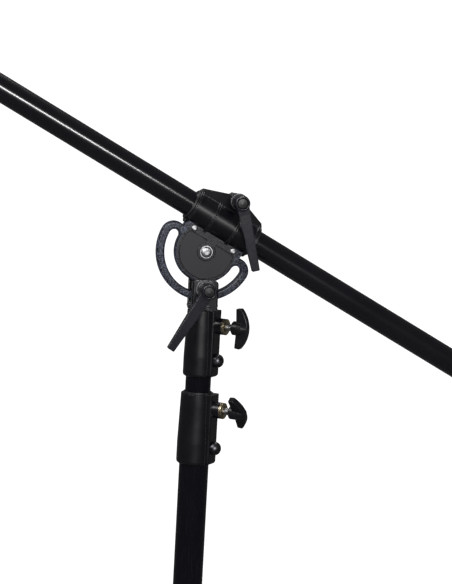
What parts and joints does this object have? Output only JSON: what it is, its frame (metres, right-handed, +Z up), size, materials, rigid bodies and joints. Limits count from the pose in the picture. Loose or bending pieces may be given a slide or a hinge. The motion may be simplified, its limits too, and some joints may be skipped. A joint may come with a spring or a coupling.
{
  "type": "c stand",
  "caption": "Studio stand with folding legs, telescoping column and a boom held by a slotted tilting head with two clamping levers.",
  "frame": {"origin": "on the floor, at the column's axis", "axes": "+Z up the column; +X towards the boom's lower end, with the boom in the XZ plane; the levers face -Y"},
  "size_m": [1.0587, 0.7893, 1.5748],
  "materials": {
    "black_tube": "satin black powder coat on aluminium tube",
    "black_casting": "satin black paint on cast aluminium",
    "textured_paint": "dark blue-grey cast texture paint",
    "cover_grey": "flat dark grey",
    "lever_grey": "dark slate grey glass-filled nylon",
    "black_plastic": "black moulded plastic",
    "nylon": "black nylon",
    "brass": "turned brass",
    "bright_steel": "bright zinc-plated steel",
    "dark_steel": "blackened steel",
    "spring_steel": "spring steel",
    "rubber": "black rubber"
  },
  "bodies": {
    "base": {"hub_low": "black_casting", "leg_low": "black_tube", "foot_low": "rubber", "leg_pin_low": "dark_steel", "friction_washers": "nylon", "hub_spring": "spring_steel", "spring_collar": "black_casting", "spring_collar_screw": "dark_steel", "column_tube": "black_tube", "lower_collar": "black_casting", "lower_liner": "nylon", "lower_dome_bolt": "dark_steel", "lower_brass_bush": "brass"},
    "leg_middle": {"hub_middle": "black_casting", "leg_middle": "black_tube", "foot_middle": "rubber", "leg_pin_middle": "dark_steel"},
    "leg_top": {"hub_top": "black_casting", "leg_top": "black_tube", "foot_top": "rubber", "leg_pin_top": "dark_steel"},
    "lower_pad": {"lower_brake_pad": "nylon"},
    "lower_knob": {"lower_knob_stud": "bright_steel", "lower_wing_knob": "black_plastic"},
    "riser_1_carrier": {"riser_1_guide": "nylon"},
    "riser_1": {"riser_1_tube": "black_tube", "upper_collar": "black_casting", "upper_liner": "nylon", "upper_dome_bolt": "dark_steel", "upper_brass_bush": "brass"},
    "upper_pad": {"upper_brake_pad": "nylon"},
    "upper_knob": {"upper_knob_stud": "bright_steel", "upper_wing_knob": "black_plastic"},
    "riser_2_carrier": {"riser_2_guide": "nylon"},
    "head_yoke": {"riser_2_tube": "black_tube", "yoke_post": "dark_steel", "yoke": "black_casting", "slot_bush": "nylon", "pivot_screw": "bright_steel", "pivot_washer": "bright_steel", "yoke_nuts": "dark_steel"},
    "tilt_lever_screw": {"tilt_lever_stud": "dark_steel", "tilt_lever_cap": "black_plastic"},
    "tilt_lever": {"tilt_lever": "lever_grey"},
    "tilt_head": {"tilt_plate": "textured_paint", "plate_cover": "cover_grey", "plate_screws": "bright_steel", "clamp_sleeve": "black_casting", "clamp_nut": "dark_steel"},
    "clamp_lever_screw": {"clamp_lever_stud": "dark_steel", "clamp_lever_cap": "black_plastic"},
    "clamp_lever": {"clamp_lever": "lever_grey"},
    "boom_liner": {"clamp_liner": "nylon"},
    "boom": {"boom_tube": "black_tube", "boom_end": "black_casting", "boom_spigot": "bright_steel", "boom_plug": "black_plastic", "bail_pin": "dark_steel"},
    "weight_bail": {"weight_bail": "bright_steel"}
  },
  "joints": [
    {"name": "leg_middle_fold", "type": "hinge", "parent": "base", "child": "leg_middle", "pos_m": [0, 0, 0.271], "axis": [0, 0, 1], "range_deg": [0, 120]},
    {"name": "leg_top_fold", "type": "hinge", "parent": "base", "child": "leg_top", "pos_m": [0, 0, 0.307], "axis": [0, 0, 1], "range_deg": [-120, 0]},
    {"name": "lower_knob_turn", "type": "hinge", "parent": "lower_pad", "child": "lower_knob", "pos_m": [0, 0, 0.9838], "axis": [0.7986, -0.6018, 0], "range_deg": [-720, 0]},
    {"name": "lower_pad_travel", "type": "slide", "parent": "base", "child": "lower_pad", "axis": [0.7986, -0.6018, 0], "range_m": [0, 0.00249]},
    {"name": "riser_1_slide", "type": "slide", "parent": "base", "child": "riser_1_carrier", "axis": [0, 0, 1], "range_m": [0, 0.6]},
    {"name": "riser_1_turn", "type": "hinge", "parent": "riser_1_carrier", "child": "riser_1", "pos_m": [0, 0, 0.9], "axis": [0, 0, 1], "continuous": true},
    {"name": "upper_knob_turn", "type": "hinge", "parent": "upper_pad", "child": "upper_knob", "pos_m": [0, 0, 1.083], "axis": [0.7986, -0.6018, 0], "range_deg": [-720, 0]},
    {"name": "upper_pad_travel", "type": "slide", "parent": "riser_1", "child": "upper_pad", "axis": [0.7986, -0.6018, 0], "range_m": [0, 0.00249]},
    {"name": "riser_2_slide", "type": "slide", "parent": "riser_1", "child": "riser_2_carrier", "axis": [0, 0, 1], "range_m": [0, 0.6]},
    {"name": "head_turn", "type": "hinge", "parent": "riser_2_carrier", "child": "head_yoke", "pos_m": [0, 0, 1.15], "axis": [0, 0, 1], "range_deg": [-185, 40]},
    {"name": "boom_tilt", "type": "hinge", "parent": "head_yoke", "child": "tilt_head", "pos_m": [0, 0, 1.169], "axis": [0, 1, 0], "range_deg": [-108, 51]},
    {"name": "tilt_lever_turn", "type": "hinge", "parent": "head_yoke", "child": "tilt_lever_screw", "pos_m": [0, -0.02, 1.1264], "axis": [0, 1, 0], "range_deg": [-41, 148]},
    {"name": "tilt_lever_lift", "type": "slide", "parent": "tilt_lever_screw", "child": "tilt_lever", "axis": [0, -1, 0], "range_m": [0, 0.004], "stiffness_N_per_m": 900, "springref_m": -0.0012},
    {"name": "clamp_lever_turn", "type": "hinge", "parent": "tilt_head", "child": "clamp_lever_screw", "pos_m": [0.03338, -0.02, 1.22996], "axis": [0, 1, 0], "range_deg": [-90, 90]},
    {"name": "clamp_lever_lift", "type": "slide", "parent": "clamp_lever_screw", "child": "clamp_lever", "axis": [0, -1, 0], "range_m": [0, 0.004], "stiffness_N_per_m": 900, "springref_m": -0.0012},
    {"name": "boom_roll", "type": "hinge", "parent": "tilt_head", "child": "boom_liner", "pos_m": [0.01854, 0, 1.20286], "axis": [0.8771, 0, -0.4802], "continuous": true},
    {"name": "boom_slide", "type": "slide", "parent": "boom_liner", "child": "boom", "axis": [-0.8771, 0, 0.4802], "range_m": [-0.6, 0.3]},
    {"name": "bail_swing", "type": "hinge", "parent": "boom", "child": "weight_bail", "pos_m": [0.38343, 0, 1.00309], "axis": [0, -1, 0], "range_deg": [-85, 60]}
  ],
  "couplings": [
    {"joint": "lower_knob_turn", "follows": "lower_pad_travel", "rad_per_m": -5026.5},
    {"joint": "upper_knob_turn", "follows": "upper_pad_travel", "rad_per_m": -5026.5}
  ]
}
